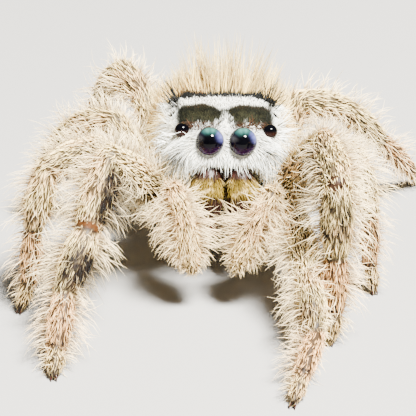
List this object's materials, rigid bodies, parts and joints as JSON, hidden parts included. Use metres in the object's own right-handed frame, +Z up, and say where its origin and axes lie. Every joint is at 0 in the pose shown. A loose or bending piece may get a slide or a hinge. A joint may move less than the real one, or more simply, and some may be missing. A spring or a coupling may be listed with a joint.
{
  "type": "jumping spider",
  "caption": "Very hairy jumping spider standing still with raised head: two large front eyes, short furry palps and long bristly legs around a compact body.",
  "frame": {"origin": "on the floor below the middle of the bounding box", "axes": "+Z up, the spider faces -Y, its own left side is +X"},
  "size_m": [0.015, 0.0208, 0.007],
  "materials": {
    "cream_coat": "dense cream hair over dark brown skin",
    "face_and_crest_coat": "white and cream hair",
    "amber_coat": "golden yellow hair over red-brown shell",
    "eye_lens": "polished black lens with a blue-green sheen",
    "dark_shell": "polished dark brown shell",
    "brown_shell": "satin brown skin with thin hair"
  },
  "bodies": {
    "root": {"abdomen": "cream_coat", "carapace": "face_and_crest_coat", "chelicera_left": "amber_coat", "chelicera_right": "amber_coat", "fang_left": "dark_shell", "fang_right": "dark_shell", "front_eye_left": "eye_lens", "front_eye_right": "eye_lens", "labium": "brown_shell", "leg_left_1_femur": "cream_coat", "leg_left_1_foot": "cream_coat", "leg_left_1_patella": "cream_coat", "leg_left_1_tibia": "cream_coat", "leg_left_2_femur": "cream_coat", "leg_left_2_foot": "cream_coat", "leg_left_2_patella": "cream_coat", "leg_left_2_tibia": "cream_coat", "leg_left_3_femur": "cream_coat", "leg_left_3_foot": "cream_coat", "leg_left_3_patella": "cream_coat", "leg_left_3_tibia": "cream_coat", "leg_left_4_femur": "cream_coat", "leg_left_4_foot": "cream_coat", "leg_left_4_patella": "cream_coat", "leg_left_4_tibia": "cream_coat", "leg_right_1_femur": "cream_coat", "leg_right_1_foot": "cream_coat", "leg_right_1_patella": "cream_coat", "leg_right_1_tibia": "cream_coat", "leg_right_2_femur": "cream_coat", "leg_right_2_foot": "cream_coat", "leg_right_2_patella": "cream_coat", "leg_right_2_tibia": "cream_coat", "leg_right_3_femur": "cream_coat", "leg_right_3_foot": "cream_coat", "leg_right_3_patella": "cream_coat", "leg_right_3_tibia": "cream_coat", "leg_right_4_femur": "cream_coat", "leg_right_4_foot": "cream_coat", "leg_right_4_patella": "cream_coat", "leg_right_4_tibia": "cream_coat", "maxilla_left": "brown_shell", "maxilla_right": "brown_shell", "palp_left_femur": "cream_coat", "palp_left_tarsus": "cream_coat", "palp_left_tibia": "cream_coat", "palp_right_femur": "cream_coat", "palp_right_tarsus": "cream_coat", "palp_right_tibia": "cream_coat", "pedicel": "brown_shell", "rear_eye_left": "eye_lens", "rear_eye_right": "eye_lens", "side_eye_left": "eye_lens", "side_eye_right": "eye_lens", "small_eye_left": "eye_lens", "small_eye_right": "eye_lens", "spinnerets": "brown_shell", "sternum": "brown_shell"}
  },
  "joints": []
}
